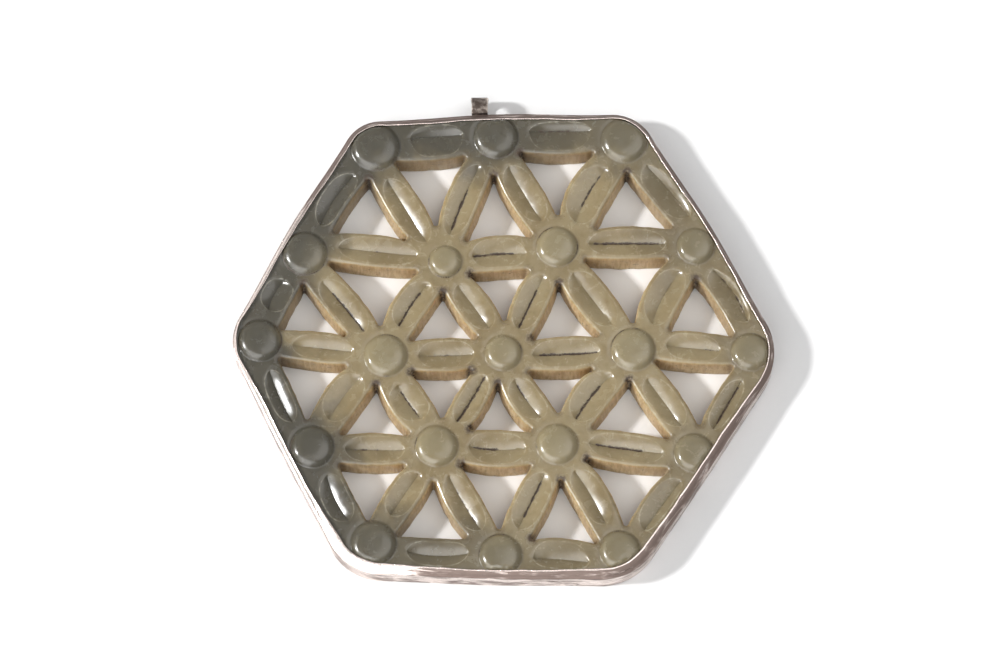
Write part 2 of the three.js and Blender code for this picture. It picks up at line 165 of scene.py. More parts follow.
def opening_outline(cell, grow):
    """The outline of an opening, anticlockwise, grown all round; its corners come first on
    each side, so every outline of a cell has its points in the same places."""
    sides = [cell_side(cell[i], cell[(i + 1) % 3]) for i in range(3)]
    centres = []
    for before, side in zip(sides[-1:] + sides[:-1], sides):
        back = -before["along"]
        spread = side["along"][0] * back[1] - side["along"][1] * back[0]
        centres.append(side["start"] + back * (side["start_reach"] + DRILL_RADIUS) / spread
                       + side["along"] * (before["end_reach"] + DRILL_RADIUS) / spread)
    radius = DRILL_RADIUS + grow
    points = []
    for i, side in enumerate(sides):
        before = sides[i - 1]["inward"]
        first = atan2(-before[1], -before[0])
        turn = atan2(before[0] * side["inward"][1] - before[1] * side["inward"][0],
                     before @ side["inward"])
        for step in range(DRILL_STEPS + 1):
            angle = first + turn * step / DRILL_STEPS
            points.append(centres[i] + radius * np.array([cos(angle), sin(angle)]))
        start, end = points[-1], centres[(i + 1) % 3] - side["inward"] * radius
        middle = ((side["start"] + side["end"]) / 2
                  + side["inward"] * (side["middle_reach"] - grow))
        control = 2 * middle - start / 2 - end / 2
        for step in range(1, SAWN_STEPS):
            t = step / SAWN_STEPS
            points.append((1 - t) ** 2 * start + 2 * t * (1 - t) * control + t * t * end)
    return np.array(points)


# The collar's six sides, anticlockwise from the upper right: the way each faces in degrees,
# its distance from the middle, its swell, the width of its front lip half way along, and the
# radius and lip width of the bend that follows.
SIDES = [
    dict(facing=30, distance=26.6, swell=0.4, lip=0.62, bend=5.0, bend_lip=0.6),
    dict(facing=91.7, distance=26.62, swell=0.45, lip=0.8, bend=4.5, bend_lip=0.7),
    dict(facing=150.4, distance=27.25, swell=0.4, lip=0.7, bend=5.5, bend_lip=0.4),
    dict(facing=206.7, distance=27.5, swell=0.1, lip=0.6, bend=6.5, bend_lip=1.2),
    dict(facing=268.6, distance=26.88, swell=0.2, lip=0.9, bend=7.0, bend_lip=1.15),
    dict(facing=326.9, distance=26.9, swell=0.1, lip=1.0, bend=6.9, bend_lip=0.7),
]
SIDE_STEPS = 60
BEND_STEPS = 16


def direction(heading):
    """The way of a heading, in degrees anticlockwise from +X."""
    return np.array([cos(radians(heading)), sin(radians(heading))])


def collar_stations():
    """Places along the collar's outer face, anticlockwise: (point, way inward, lip width)."""
    centres = []
    for i, side in enumerate(SIDES):
        a, b = direction(side["facing"]), direction(SIDES[(i + 1) % 6]["facing"])
        reach_a = side["distance"] - side["bend"]
        reach_b = SIDES[(i + 1) % 6]["distance"] - side["bend"]
        turn = a[0] * b[1] - a[1] * b[0]
        meeting = np.array([reach_a * b[1] - reach_b * a[1], a[0] * reach_b - b[0] * reach_a])
        centres.append(meeting / turn)
    found = []
    for i, side in enumerate(SIDES):
        before, after = SIDES[i - 1], SIDES[(i + 1) % 6]
        facing = direction(side["facing"])
        start = centres[i - 1] + facing * before["bend"]
        end = centres[i] + facing * side["bend"]
        for step in range(SIDE_STEPS):
            place = step / SIDE_STEPS
            hump = sin(pi * place)
            point = start + (end - start) * place + facing * side["swell"] * hump ** 2
            ends = before["bend_lip"] + (side["bend_lip"] - before["bend_lip"]) * place
            found.append((point, -facing, ends + (side["lip"] - ends) * hump))
        turn = (after["facing"] - side["facing"]) % 360
        for step in range(BEND_STEPS):
            outward = direction(side["facing"] + turn * step / BEND_STEPS)
            found.append((centres[i] + outward * side["bend"], -outward, side["bend_lip"]))
    return found


stations = collar_stations()


def collar_ring(inset_of):
    """The collar's line moved inward by an inset that may follow the lip's width."""
    return np.array([point + inward * inset_of(lip) for point, inward, lip in stations])


# Hollows: leaf-shaped, V in section, each with a fine cut line along its valley.  A scoop of
# 0 is a straight V and 1 a round one; below 0, the valley is sharper and its edges gentler.
HOLLOW_DEPTH = 0.56
HOLLOW_CLEARANCE = 1.2
LEAF_SQUARENESS = 3.4
LEAF_BLUNTNESS = 0.6
CREST_INSET = 0.44
RIM_LAND = 0.1
SCOOP = -0.5
HOLLOW_ROWS = 34
HOLLOW_LINES = (1, 0.9, 0.76, 0.6, 0.44, 0.28, 0.14, 0.05)

lip_edge = collar_ring(lambda lip: lip)


def leaf_width(place):
    return np.clip(1 - np.abs(2 * place - 1) ** LEAF_SQUARENESS, 0, 1) ** LEAF_BLUNTNESS


def valley_shift(petal, place):
    return (petal["bow"] * 4 * place * (1 - place)
            + petal["start_shift"] * (1 - place) * (1 - 2 * place)
            + petal["end_shift"] * place * (2 * place - 1))


def valley_point(petal, place):
    reach = petal["from"] + (petal["to"] - petal["from"]) * place
    return (petal["start"]["centre"] + petal["along"] * reach
            + petal["right"] * valley_shift(petal, place))


for petal in petals.values():
    petal["from"] = petal["start"]["radius"] + HOLLOW_CLEARANCE
    petal["to"] = (np.hypot(*(petal["end"]["centre"] - petal["start"]["centre"]))
                   - petal["end"]["radius"] - HOLLOW_CLEARANCE)
    valley = valley_point(petal, 0.5)
    for hand, name in ((1, "right_half"), (-1, "left_half")):
        petal[name] = petal["half"] - CREST_INSET
        outward = petal["right"] * hand
        if petal["on_rim"] and outward @ valley > 0:
            away = lip_edge - valley
            reach = away @ outward
            beside = (np.abs(away @ petal["along"]) < BOSS_SPACING / 4) & (reach > 0)
            petal[name] = min(petal[name], reach[beside].min() - RIM_LAND)

# The face is meshed from the outlines of everything cut in it, with even filling between.
EASE = 0.42
EASE_DROP = 0.36
FIT_GAP = 0.05
UNDER_LIP = 0.06
FILL_SPACING = 0.34
CLOSEST = 0.13
EDGE_MARGIN = 0.03

face_points, face_edges, taken = [], [], {}


def room_for(point, reach):
    column, line = int(point[0] // CLOSEST), int(point[1] // CLOSEST)
    span = int(reach // CLOSEST) + 1
    return all(np.hypot(point[0] - other[0], point[1] - other[1]) >= reach
               for i in range(-span, span + 1) for j in range(-span, span + 1)
               for other in taken.get((column + i, line + j), ()))


def mark(point):
    taken.setdefault((int(point[0] // CLOSEST), int(point[1] // CLOSEST)), []).append(point)
    face_points.append((float(point[0]), float(point[1])))
    return len(face_points) - 1


def draw(points, closed):
    """Marks a line that the mesh's edges must follow."""
    indices = [mark(point) for point in points]
    face_edges.extend(zip(indices, indices[1:] + indices[:1] if closed else indices[1:]))
    return indices


rim_line = collar_ring(lambda lip: lip - UNDER_LIP)
draw(rim_line, True)
opening_rings = [draw(opening_outline(cell, EASE), True) for cell in cells]


def inside(points, outline):
    """Which points lie inside a closed outline."""
    points = np.asarray(points)
    result = np.zeros(len(points), bool)
    for a, b in zip(outline, np.roll(outline, -1, axis=0)):
        crosses = (a[1] > points[:, 1]) != (b[1] > points[:, 1])
        if crosses.any():
            slope = (b[0] - a[0]) / (b[1] - a[1])
            result ^= crosses & (points[:, 0] < a[0] + slope * (points[:, 1] - a[1]))
    return result


def on_face(points, margin):
    """Which points lie on the jade's face, at least a margin from its openings."""
    kept = inside(points, rim_line)
    for cell in cells:
        outline = opening_outline(cell, EASE + margin)
        low, high = outline.min(axis=0), outline.max(axis=0)
        near = kept & (points >= low).all(axis=1) & (points <= high).all(axis=1)
        kept[near] &= ~inside(points[near], outline)
    return kept


# valley and crest lines, then the lines between them
between = []
for petal in petals.values():
    places = (1 - np.cos(np.pi * np.linspace(0, 1, HOLLOW_ROWS + 1))) / 2
    valley = np.array([valley_point(petal, place) for place in places])
    draw(valley, False)
    width = leaf_width(places)[:, None]
    for hand, half in ((1, petal["right_half"]), (-1, petal["left_half"])):
        for line in HOLLOW_LINES:
            between.extend(valley[1:-1] + (hand * half * line * width * petal["right"])[1:-1])
between = np.array(between)
for point in between[on_face(between, EDGE_MARGIN)]:
    if room_for(point, CLOSEST * 0.6):
        mark(point)

# boss rings
BOSS_HEIGHT = 0.66
BOSS_RINGS = (1.09, 1.05, 1.02, 1.0, 0.98, 0.95, 0.91, 0.86, 0.8, 0.74, 0.62, 0.45, 0.25)
RING_SPACING = 0.28
FEWEST_ON_RING = 12
rings = []
for boss in bosses.values():
    for ring in BOSS_RINGS:
        radius = boss["radius"] * ring
        count = max(FEWEST_ON_RING, round(2 * pi * radius / RING_SPACING))
        angles = np.linspace(0, 2 * pi, count, endpoint=False)
        rings.extend(boss["centre"] + radius * np.column_stack([np.cos(angles), np.sin(angles)]))
rings = np.array(rings)
for point in rings[on_face(rings, EDGE_MARGIN)]:
    if room_for(point, CLOSEST * 0.5):
        mark(point)

# even filling
low, high = rim_line.min(axis=0), rim_line.max(axis=0)
fill = []
for line, y in enumerate(np.arange(low[1], high[1], FILL_SPACING * sqrt(3) / 2)):
    for x in np.arange(low[0] + (line % 2) * FILL_SPACING / 2, high[0], FILL_SPACING):
        fill.append((x, y))
fill = np.array(fill)
for point in fill[on_face(fill, EDGE_MARGIN)]:
    if room_for(point, FILL_SPACING * 0.6):
        mark(point)

# triangles of the face, without those that span the openings
made = delaunay_2d_cdt([Vector(point) for point in face_points], face_edges, [], 0, 1e-6)
plan = np.array([tuple(point) for point in made[0]])
place_of = {old: new for new, olds in enumerate(made[3]) for old in olds}
triangles = np.array(made[2])
triangles = triangles[on_face(plan[triangles].mean(axis=1), 0)]


def smooth(low, high, value):
    """Goes smoothly from 0 to 1 as the value goes from low to high."""
    share = np.clip((value - low) / (high - low), 0, 1)
    return share * share * (3 - 2 * share)


def line_distance(points, line):
    """How far each point is from a closed line's own points."""
    tree = KDTree(len(line))
    for index, point in enumerate(line):
        tree.insert((point[0], point[1], 0), index)
    tree.balance()
    return np.array([tree.find((point[0], point[1], 0))[2] for point in points])


# The cut lines along the valleys that hold old dirt: how dark, and from where to where.
STAINED_VALLEYS = {
    ((0, 1), (1, 1)): (0.8, 0.3, 0.95), ((0, 2), (1, 2)): (0.6, 0.1, 0.85),
    ((1, 0), (2, 1)): (0.75, 0.2, 1.0), ((1, 1), (1, 2)): (0.95, 0.0, 0.8),
    ((1, 1), (2, 1)): (1.0, 0.2, 1.0), ((1, 2), (1, 3)): (1.0, 0.04, 0.93),
    ((1, 2), (2, 2)): (0.85, 0.25, 1.0), ((2, 1), (3, 1)): (0.6, 0.1, 0.95),
    ((2, 1), (2, 2)): (0.5, 0.1, 0.8), ((2, 2), (2, 3)): (1.0, 0.08, 0.98),
    ((2, 2), (3, 1)): (1.0, 0.0, 1.0), ((2, 2), (3, 2)): (0.7, 0.1, 0.6),
    ((2, 3), (3, 2)): (0.95, 0.25, 1.0), ((3, 1), (3, 2)): (0.9, 0.05, 0.55),
    ((3, 2), (3, 3)): (0.75, 0.05, 0.75), ((3, 2), (4, 1)): (0.85, 0.1, 0.8),
    ((3, 0), (3, 1)): (0.5, 0.1, 0.6), ((3, 1), (4, 1)): (0.5, 0.2, 0.9),
    ((2, 3), (2, 4)): (0.45, 0.1, 0.9), ((1, 0), (1, 1)): (0.4, 0.2, 0.8),
    ((0, 1), (0, 2)): (0.6, 0.1, 0.7), ((2, 0), (2, 1)): (0.4, 0.1, 0.8),
    ((2, 4), (3, 3)): (0.8, 0.1, 0.9), ((1, 3), (2, 4)): (0.5, 0.1, 0.9),
}
FAINT_STAIN = (0.12, 0.1, 0.9)

height = np.full(len(plan), JADE_THICKNESS)
crest_away = np.full(len(plan), 1.0)
valley_away = np.full(len(plan), 1.0)
valley_stain = np.zeros(len(plan))
for key, petal in petals.items():
    away = plan - petal["start"]["centre"]
    place = (away @ petal["along"] - petal["from"]) / (petal["to"] - petal["from"])
    beside = away @ petal["right"]
    near = np.flatnonzero((place > 0) & (place < 1) & (np.abs(beside) < BOSS_SPACING / 3))
    place = place[near]
    across = beside[near] - valley_shift(petal, place)
    half = np.where(across > 0, petal["right_half"], petal["left_half"])
    width = leaf_width(place)
    share = np.abs(across) / (half * width + 1e-6)
    section = (1 - SCOOP) * (1 - share) + SCOOP * (1 - share ** 2)
    height[near] -= HOLLOW_DEPTH * width * np.where(share < 1, section, 0)
    crest_away[near] = np.minimum(crest_away[near], np.abs(1 - share) * half * width)
    hollowed = share < 1
    valley_away[near[hollowed]] = np.minimum(np.abs(across), 1)[hollowed]
    dark, first, last = STAINED_VALLEYS.get(key, FAINT_STAIN)
    begun = smooth(first - 0.02, first + 0.06, place)
    ended = smooth(last - 0.06, last + 0.02, place)
    kept_dark = dark * begun * (1 - ended)
    valley_stain[near[hollowed]] = kept_dark[hollowed]

# the bosses: domed like cabochons, with a shallow groove round the foot
BOSS_FULLNESS = 5.2
FOOT_GROOVE = 0.04
foot_away = np.full(len(plan), 1.0)
raised = np.zeros(len(plan))
on_boss = np.zeros(len(plan))
for boss in bosses.values():
    away = np.hypot(*(plan - boss["centre"]).T)
    share = away / boss["radius"]
    raised[share < 1] = BOSS_HEIGHT * (1 - share[share < 1] ** BOSS_FULLNESS)
    groove = (share >= 1) & (share < 1.1)
    raised[groove] = -FOOT_GROOVE * np.sin(pi * (share[groove] - 1) / 0.1)
    foot_away = np.minimum(foot_away, np.abs(away - boss["radius"]))
    on_boss = np.maximum(on_boss, 1 - smooth(0.9, 1.02, share))
rim_away = line_distance(plan, rim_line)
height += raised * smooth(0.02, 0.3, rim_away)

# hand finish: the polished face is never quite flat
for wave, angle, depth in ((0.45, 0.4, 0.02), (0.8, 1.9, 0.012), (1.3, 2.7, 0.006)):
    ripple = np.sin(wave * (plan @ direction(degrees(angle))) + 3 * angle)
    height += depth * ripple * smooth(0, 1, rim_away)

corners = [(x, y, z) for (x, y), z in zip(plan, height)]
faces = [tuple(triangle) for triangle in triangles]
wall = [0.0] * len(plan)
crest_away, valley_away, valley_stain, foot_away, on_boss = map(
    list, (crest_away, valley_away, valley_stain, foot_away, on_boss))


def add_ring(outline, level, wall_value):
    """A closed row of corners, and their numbers."""
    first = len(corners)
    corners.extend((x, y, level) for x, y in outline)
    wall.extend([wall_value] * len(outline))
    for channel, empty in ((crest_away, 1), (valley_away, 1), (valley_stain, 0), (foot_away, 1),
                           (on_boss, 0)):
        channel.extend([empty] * len(outline))
    return list(range(first, first + len(outline)))


def skin(upper, lower):
    """Joins two rows of corners, facing out of an anticlockwise pair."""
    for i, (a, b) in enumerate(zip(upper, lower)):
        c, d = lower[(i + 1) % len(lower)], upper[(i + 1) % len(upper)]
        faces.append((a, b, c, d))


# the openings' walls: a rounded front edge, then the saw's wandering taper down to the back
SAW_TAPER = 0.14
SAW_WANDER = 0.09
BACK_EASE = 0.1
ROUND_STEPS = 5
WALL_STEPS = 9


def sawn(outline, level):
    """An outline moved in and out as the saw wandered; the face keeps its even line."""
    middle = outline.mean(axis=0)
    moved = []
    for point in outline:
        way = point - middle
        swerve = noise.noise(Vector((point[0] * 0.9, point[1] * 0.9, level * 0.7)))
        swerve += 0.35 * noise.noise(Vector((point[0] * 3, point[1] * 3, level * 1.5)))
        fade = min(1, (JADE_THICKNESS - level) / EASE_DROP)
        moved.append(point + way / np.hypot(*way) * SAW_WANDER * swerve * fade)
    return np.array(moved)


back_openings = []
for cell, drawn in zip(cells, opening_rings):
    upper = [place_of[index] for index in drawn]
    for step in range(1, ROUND_STEPS + 1):
        angle = pi / 2 * step / ROUND_STEPS
        level = JADE_THICKNESS - EASE_DROP * (1 - cos(angle))
        ring = add_ring(sawn(opening_outline(cell, EASE * (1 - sin(angle))), level), level,
                        step / ROUND_STEPS)
        skin(ring, upper)
        upper = ring
    for step in range(1, WALL_STEPS + 1):
        share = step / WALL_STEPS
        level = (JADE_THICKNESS - EASE_DROP) * (1 - share) + BACK_EASE * share
        ring = add_ring(sawn(opening_outline(cell, -SAW_TAPER * share), level), level, 1 + share)
        skin(ring, upper)
        upper = ring
    ring = add_ring(sawn(opening_outline(cell, BACK_EASE - SAW_TAPER), 0), 0, 2)
    skin(ring, upper)
    back_openings.append(ring)

# the edge that the collar holds
COLLAR_WALL = 0.36
COLLAR_WALL_HEIGHT = 3.15
COLLAR_EDGE = 0.26
BACK_LIP = 0.8
upper = [place_of[index] for index in range(len(rim_line))]
for inset, level in ((lambda lip: COLLAR_WALL + FIT_GAP, COLLAR_WALL_HEIGHT - 2 * COLLAR_EDGE),
                     (lambda lip: COLLAR_WALL + FIT_GAP, 2 * COLLAR_EDGE + FIT_GAP),
                     (lambda lip: BACK_LIP + FIT_GAP, COLLAR_EDGE),
                     (lambda lip: BACK_LIP + FIT_GAP, 0)):
    ring = add_ring(collar_ring(inset), level, 0)
    skin(upper, ring)
    upper = ring
back_rim = upper

# the flat back, with a few corners between so that it isn't one huge face
back_points = [corners[index][:2] for ring in [back_rim] + back_openings for index in ring]
back_edges, start = [], 0
for ring in [back_rim] + back_openings:
    count = len(ring)
    back_edges.extend((start + i, start + (i + 1) % count) for i in range(count))
    start += count
back_numbers = [index for ring in [back_rim] + back_openings for index in ring]
outer_back = collar_ring(lambda lip: BACK_LIP + FIT_GAP)
made = delaunay_2d_cdt([Vector(point) for point in back_points], back_edges, [], 0, 1e-6)
back_plan = np.array([tuple(point) for point in made[0]])
number_of = {new: back_numbers[olds[0]] for new, olds in enumerate(made[3]) if olds}
middles = back_plan[np.array(made[2])].mean(axis=1)
kept = inside(middles, outer_back)
for cell in cells:
    kept &= ~inside(middles, sawn(opening_outline(cell, BACK_EASE - SAW_TAPER), 0))
faces.extend(tuple(number_of[index] for index in triangle[::-1])
             for triangle, keep in zip(made[2], kept) if keep)

# Drilled corners still packed with old dirt: the boss, and which gaps round it, counted
# anticlockwise from the gap above its right-hand petal.
DIRTY_GAPS = {
    (0, 0): (4,), (0, 1): (4, 5), (0, 2): (4,),
    (1, 0): (4,), (1, 1): (4, 5), (1, 2): (4,), (1, 3): (4,),
    (2, 1): (4, 5), (2, 2): (0, 3, 4), (2, 3): (4,),
    (3, 1): (0, 5), (3, 2): (4, 5),
    (4, 1): (0,),
}
OTHER_DIRT = 0.35
DIRT_REACH = 0.8

FARTHEST = 20
spots = np.array([corner[:2] for corner in corners])
dirt = np.zeros(len(spots))
for cell in cells:
    outline = opening_outline(cell, 0)
    for index, key in enumerate(cell):
        toward = outline.mean(axis=0) - bosses[key]["centre"]
        gap = int(degrees(atan2(toward[1], toward[0])) % 360 // 60)
        drilled = outline[index * (DRILL_STEPS + SAWN_STEPS) + DRILL_STEPS // 2]
        near = 1 - smooth(0.3, DIRT_REACH, np.hypot(*(spots - drilled).T))
        packed = 1 if gap in DIRTY_GAPS.get(key, ()) else OTHER_DIRT
        dirt = np.maximum(dirt, near * packed)


CREASE = 50


def finish_mesh(mesh, **channels):
    """Smooths a mesh except at creases, and stores what its finish reads at each corner."""
    mesh.validate()
    mesh.shade_smooth()
    mesh.set_sharp_from_angle(angle=radians(CREASE))
    for name, values in channels.items():
        channel = mesh.attributes.new(name, "FLOAT", "POINT")
        channel.data.foreach_set("value", np.array(values, float))


mesh = bpy.data.meshes.new("carved_jade")
mesh.from_pydata([(x * MM, y * MM, z * MM) for x, y, z in corners], [], faces)
finish_mesh(mesh, crest_away=crest_away, valley_away=valley_away, valley_stain=valley_stain,
            foot_away=foot_away, on_boss=on_boss, wall=wall, dirt=dirt,
            collar_away=np.minimum(line_distance(spots, rim_line), FARTHEST))
jade = bpy.data.objects.new("carved_jade", mesh)
bpy.context.collection.objects.link(jade)


class Finish:
    """Writes a shader tree: each call adds a node and gives its output."""

    def __init__(self, tree):
        self.tree = tree

    def add(self, kind, inputs, output=0, **settings):
        made = self.tree.nodes.new(kind)
        for name, value in settings.items():
            setattr(made, name, value)
        for socket, value in inputs.items():
            if isinstance(value, bpy.types.NodeSocket):
                self.tree.links.new(value, made.inputs[socket])
            else:
                made.inputs[socket].default_value = value
        return made.outputs[output]

    def where(self, stretch=(1, 1, 1)):
        """The place on the piece, in millimetres."""
        place = self.add("ShaderNodeTexCoord", {}, "Object")
        return self.add("ShaderNodeVectorMath", {0: place, 1: [s / MM for s in stretch]},
                        operation="MULTIPLY")

    def read(self, name):
        return self.add("ShaderNodeAttribute", {}, "Fac", attribute_name=name)

    def noise(self, where, scale, detail=3, roughness=0.5, distortion=0):
        inputs = {"Vector": where, "Scale": scale, "Detail": detail, "Roughness": roughness}
        return self.add("ShaderNodeTexNoise", {**inputs, "Distortion": distortion})

    def sum(self, operation, first, second):
        return self.add("ShaderNodeMath", {0: first, 1: second}, operation=operation)

    def times(self, *values):
        product = values[0]
        for value in values[1:]:
            product = self.sum("MULTIPLY", product, value)
        return product

    def span(self, value, low, high, bottom=0, top=1):
        """Goes smoothly from bottom to top as the value goes from low to high."""
        return self.add("ShaderNodeMapRange", {0: value, 1: low, 2: high, 3: bottom, 4: top},
                        interpolation_type="SMOOTHSTEP")

    def mix(self, share, first, second, blend="MIX"):
        first, second = [(*c, 1) if isinstance(c, tuple) else c for c in (first, second)]
        return self.add("ShaderNodeMix", {0: share, 6: first, 7: second}, 2,
                        data_type="RGBA", blend_type=blend)


def new_group(name, takes, gives):
    """An empty node group with named sockets, and a Finish that writes in it."""
    group = bpy.data.node_groups.new(name, "ShaderNodeTree")
    for label, kind in takes:
        group.interface.new_socket(label, in_out="INPUT", socket_type="NodeSocket" + kind)
    for label, kind in gives:
        group.interface.new_socket(label, in_out="OUTPUT", socket_type="NodeSocket" + kind)
    taken_in, given = group.nodes.new("NodeGroupInput"), group.nodes.new("NodeGroupOutput")
    return group, Finish(group), taken_in, given


def place_group(finish, group, **values):
    """Places a node group in a finish; an underscore in a value's name is a space."""
    made = finish.tree.nodes.new("ShaderNodeGroup")
    made.node_tree = group
    for name, value in values.items():
        socket = made.inputs[name.replace("_", " ")]
        if isinstance(value, bpy.types.NodeSocket):
            finish.tree.links.new(value, socket)
        else:
            socket.default_value = (*value, 1) if isinstance(value, tuple) else value
    return made


def new_finish(name, **sockets):
    """A material, its shader with the sockets that stay the same all over, and its Finish."""
    material = bpy.data.materials.new(name)
    material.use_nodes = True
    shader = material.node_tree.nodes["Principled BSDF"]
    for label, value in sockets.items():
        shader.inputs[label.replace("_", " ")].default_value = value
    return material, shader, Finish(material.node_tree)


# Old dirt: dark and dull where it has settled, broken up by wear.
old_dirt, f, taken_in, given = new_group(
    "old dirt", [("Colour", "Color"), ("Settled", "Float"), ("Grain", "Float"), ("Dirt", "Color")],
    [("Colour", "Color"), ("Cover", "Float")])
broken = f.noise(f.where(), taken_in.outputs["Grain"], 4, 0.65)
unworn = f.span(broken, 0.36, 0.58, 0.35, 1.1)
cover = f.sum("MINIMUM", f.times(taken_in.outputs["Settled"], unworn), 1)
f.tree.links.new(f.mix(cover, taken_in.outputs["Colour"], taken_in.outputs["Dirt"]),
                 given.inputs["Colour"])
f.tree.links.new(cover, given.inputs["Cover"])

# Fine scratches of wear, running every way.
fine_scratches, f, taken_in, given = new_group(
    "fine scratches", [("Size", "Float")], [("Height", "Float")])
total = 0
for stretch, turn in (((1, 14, 1), 0.3), ((12, 1, 1), 1.1), ((1, 10, 1), 2.0)):
    place = f.add("ShaderNodeMapping", {"Vector": f.where(), "Rotation": (0, 0, turn),
                                        "Scale": stretch})
    line = f.noise(place, taken_in.outputs["Size"], 2, 0.5)
    total = f.sum("ADD", total, f.span(line, 0.62, 0.72))
f.tree.links.new(f.times(total, -0.33), given.inputs["Height"])

# Nephrite: cloudy olive and greyer on the handled bosses, with painted shade darkening it towards the
# collar.
jade_finish, shader, f = new_finish("nephrite", IOR=1.61, Subsurface_Weight=0.85,
                                    Subsurface_Radius=(1.0, 0.9, 0.75), Subsurface_Scale=0.0018)
where = f.where()
clouds = f.noise(where, 0.16, 5, 0.55, 0.6)
mottle = f.noise(where, 0.9, 5, 0.6, 0.4)
grain = f.noise(where, 5.0, 4, 0.6)
colour = f.mix(f.span(clouds, 0.35, 0.65), (0.25, 0.192, 0.1), (0.3, 0.24, 0.135))
colour = f.mix(f.span(mottle, 0.42, 0.7, 0, 0.3), colour, (0.34, 0.285, 0.175))
colour = f.mix(f.span(mottle, 0.5, 0.3, 0, 0.25), colour, (0.19, 0.14, 0.07))
colour = f.mix(f.span(grain, 0.6, 0.72, 0, 0.1), colour, (0.42, 0.39, 0.3))
colour = f.mix(f.times(f.read("on_boss"), 0.55), colour, (0.265, 0.232, 0.145))
collar_away = f.read("collar_away")
# painted shade: the jade is painted darker towards the collar
collar_shade = f.span(f.sum("ADD", collar_away, f.span(clouds, 0.3, 0.7, -1.5, 1.5)), 8.5, 2.5)
# that painted shade is deepest on the left
left_side = f.add("ShaderNodeVectorMath", {0: where, 1: (-0.9, 0.35, 0)}, "Value",
                  operation="DOT_PRODUCT")
collar_shade = f.times(collar_shade, f.span(left_side, -20, 14, 0.3, 1))
colour = f.mix(f.times(collar_shade, 0.92), colour, (0.072, 0.068, 0.054))

# painted highlight: the crest lines are painted paler
crest = f.read("crest_away")
crest_highlight = f.times(f.span(crest, 0.12, 0.02), f.span(mottle, 0.4, 0.6, 0.05, 0.4))
colour = f.mix(crest_highlight, colour, (0.5, 0.46, 0.36))

# sawn walls: ochre, partly their own stain and partly a painted glow of light passing through the
# jade, with upright saw marks and dark flecks
wall_share = f.read("wall")
saw_marks = f.noise(f.where((1, 1, 0.12)), 3.2, 4, 0.65)
flecks = f.noise(where, 2.2, 5, 0.7)
wall_stain_and_glow = f.mix(f.span(saw_marks, 0.35, 0.65), (0.42, 0.28, 0.13), (0.6, 0.45, 0.25))
wall_stain_and_glow = f.mix(f.span(flecks, 0.42, 0.32, 0, 0.8), wall_stain_and_glow, (0.1, 0.06, 0.025))
# painted shade: the walls too are painted darker towards the collar
wall_stain_and_glow = f.mix(f.times(collar_shade, 0.7), wall_stain_and_glow, (0.16, 0.13, 0.09))
colour = f.mix(f.span(wall_share, 0.3, 1.05, 0, 0.9), colour, wall_stain_and_glow)

# the dark cut line along each valley, broken by worn spots
valley = f.read("valley_away")
stain = f.read("valley_stain")
wander = f.noise(where, 1.6, 4, 0.6)
line_width = f.times(f.span(wander, 0.35, 0.65, 0.1, 0.28), f.span(stain, 0.2, 1, 0.5, 1))
line = f.add("ShaderNodeMapRange", {0: valley, 1: 0.02, 2: line_width, 3: 1, 4: 0},
             interpolation_type="SMOOTHSTEP")
line = f.times(line, f.span(f.sum("ADD", stain, wander), 0.9, 1.25, 0, 2))
# dirt in the drilled corners and here and there round the foot of a boss
foot = f.times(f.span(f.read("foot_away"), 0.12, 0.02), f.span(f.noise(where, 0.3, 2), 0.54, 0.62))
settled = f.sum("MAXIMUM", f.sum("MAXIMUM", line, foot), f.read("dirt"))
dirty = place_group(f, old_dirt, Colour=colour, Settled=settled, Grain=2.6, Dirt=(0.05, 0.024, 0.008))
colour = dirty.outputs["Colour"]

scratched = place_group(f, fine_scratches, Size=1.4).outputs["Height"]
relief = f.sum("ADD", f.times(grain, 0.15), f.times(scratched, 0.08))
relief = f.sum("ADD", relief, f.times(saw_marks, f.span(wall_share, 0.3, 1, 0, 2.5)))
relief = f.sum("SUBTRACT", relief, f.times(dirty.outputs["Cover"], 0.8))
f.tree.links.new(f.add("ShaderNodeBump", {"Strength": 0.35, "Distance": 0.00003, "Height": relief}),
                 shader.inputs["Normal"])
dull = f.sum("MAXIMUM", f.span(wall_share, 0.3, 1, 0, 0.3), f.times(dirty.outputs["Cover"], 0.4))
f.tree.links.new(f.sum("ADD", f.span(mottle, 0.3, 0.7, 0.16, 0.3), dull), shader.inputs["Roughness"])
f.tree.links.new(colour, shader.inputs["Base Color"])
mesh.materials.append(jade_finish)

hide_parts("jade_plaque")
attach(jade, "root")


# ---- Silver collar ----
# A strip of silver bent round the jade, its front edge rubbed over into a lip that slopes up
# to a thin burnished edge and its back edge turned under.  Worn, dented and tarnished.

COLLAR_HEIGHT = 3.75
COLLAR_ROUND = 0.13
LIP_ROUND = 0.07


def wobble(places, pattern):
    """A slow uneven wave round a closed ring, where places go from 0 to 1."""
    total = np.zeros_like(places)
    for turns, phase, size in pattern:
        total += size * np.sin(2 * pi * turns * places + phase)
    return total


# (waves round the ring, where they start, size)
DENTS = [(7, 0.4, 0.35), (13, 2.1, 0.3), (29, 1.0, 0.2), (53, 4.0, 0.15)]
LIP_WAVES = [(11, 1.2, 0.3), (23, 0.2, 0.3), (41, 2.6, 0.25), (83, 5.1, 0.15)]
LIP_WAVE = 0.07
TOP_DROP = 0.02
TOP_DENT = 0.05
SHOULDER_DENT = 0.06
WALL_BULGE = 0.025
SLOPE_CROWN = 0.14
COLLAR_WALL_STEPS = 8
COLLAR_ROUND_STEPS = 4
COLLAR_SLOPE_STEPS = 7

